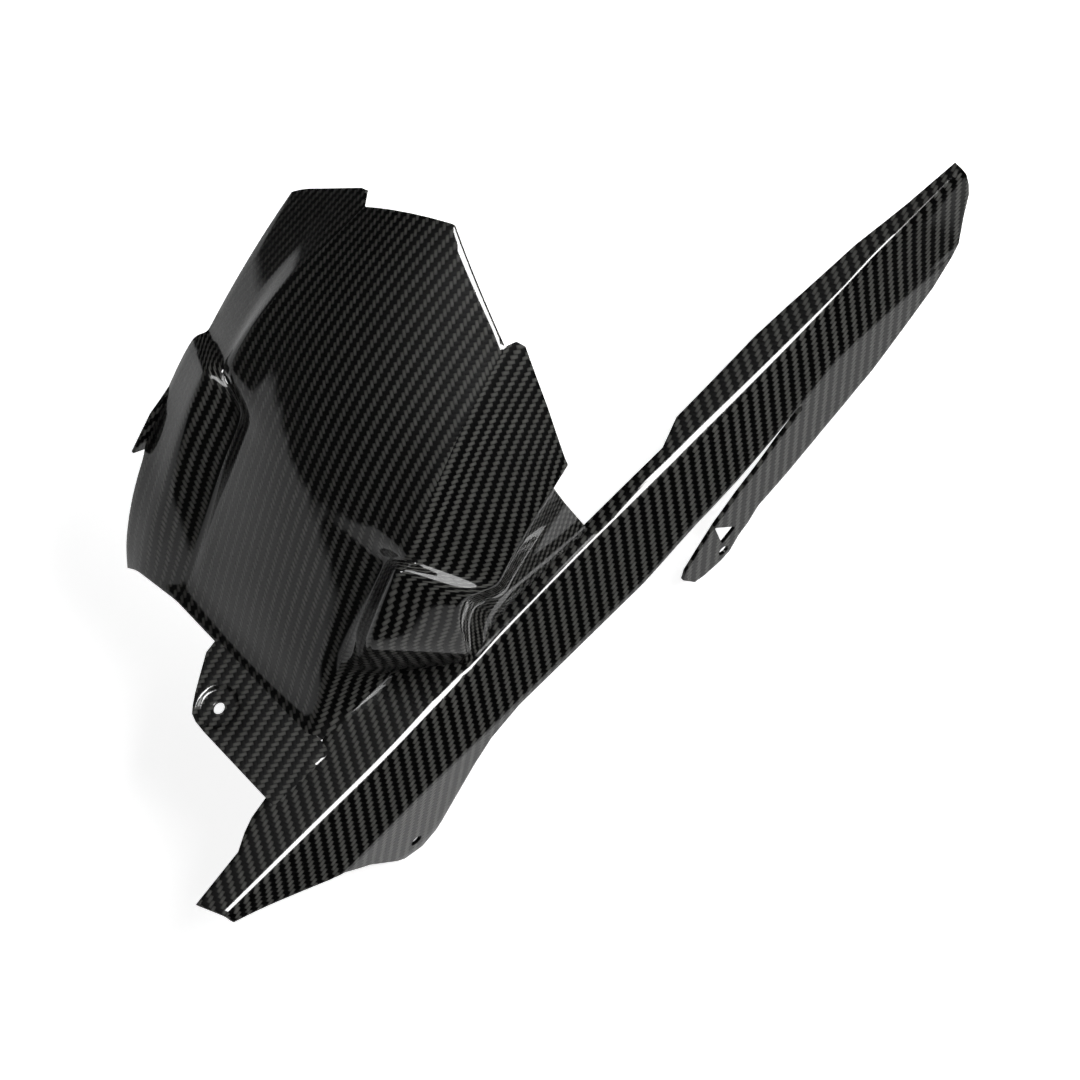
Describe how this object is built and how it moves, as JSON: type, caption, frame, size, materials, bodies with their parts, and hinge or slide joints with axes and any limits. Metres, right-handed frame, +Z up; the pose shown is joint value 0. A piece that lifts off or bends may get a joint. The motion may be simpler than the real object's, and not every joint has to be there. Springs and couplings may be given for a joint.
{
  "type": "rear hugger mudguard",
  "caption": "Rear tyre hugger mudguard with a moulded chain guard on its left side, in glossy twill carbon fibre.",
  "frame": {"origin": "middle of the front bolt hole, halfway through the plate", "axes": "+X points forward as the part is fitted, +Y to the left, +Z up and along the front bolt hole"},
  "size_m": [0.538, 0.224, 0.2617],
  "materials": {
    "carbon_fibre": "gloss clear coat over 2/2 twill carbon fibre weave"
  },
  "bodies": {
    "root": {"hugger": "carbon_fibre"}
  },
  "joints": []
}
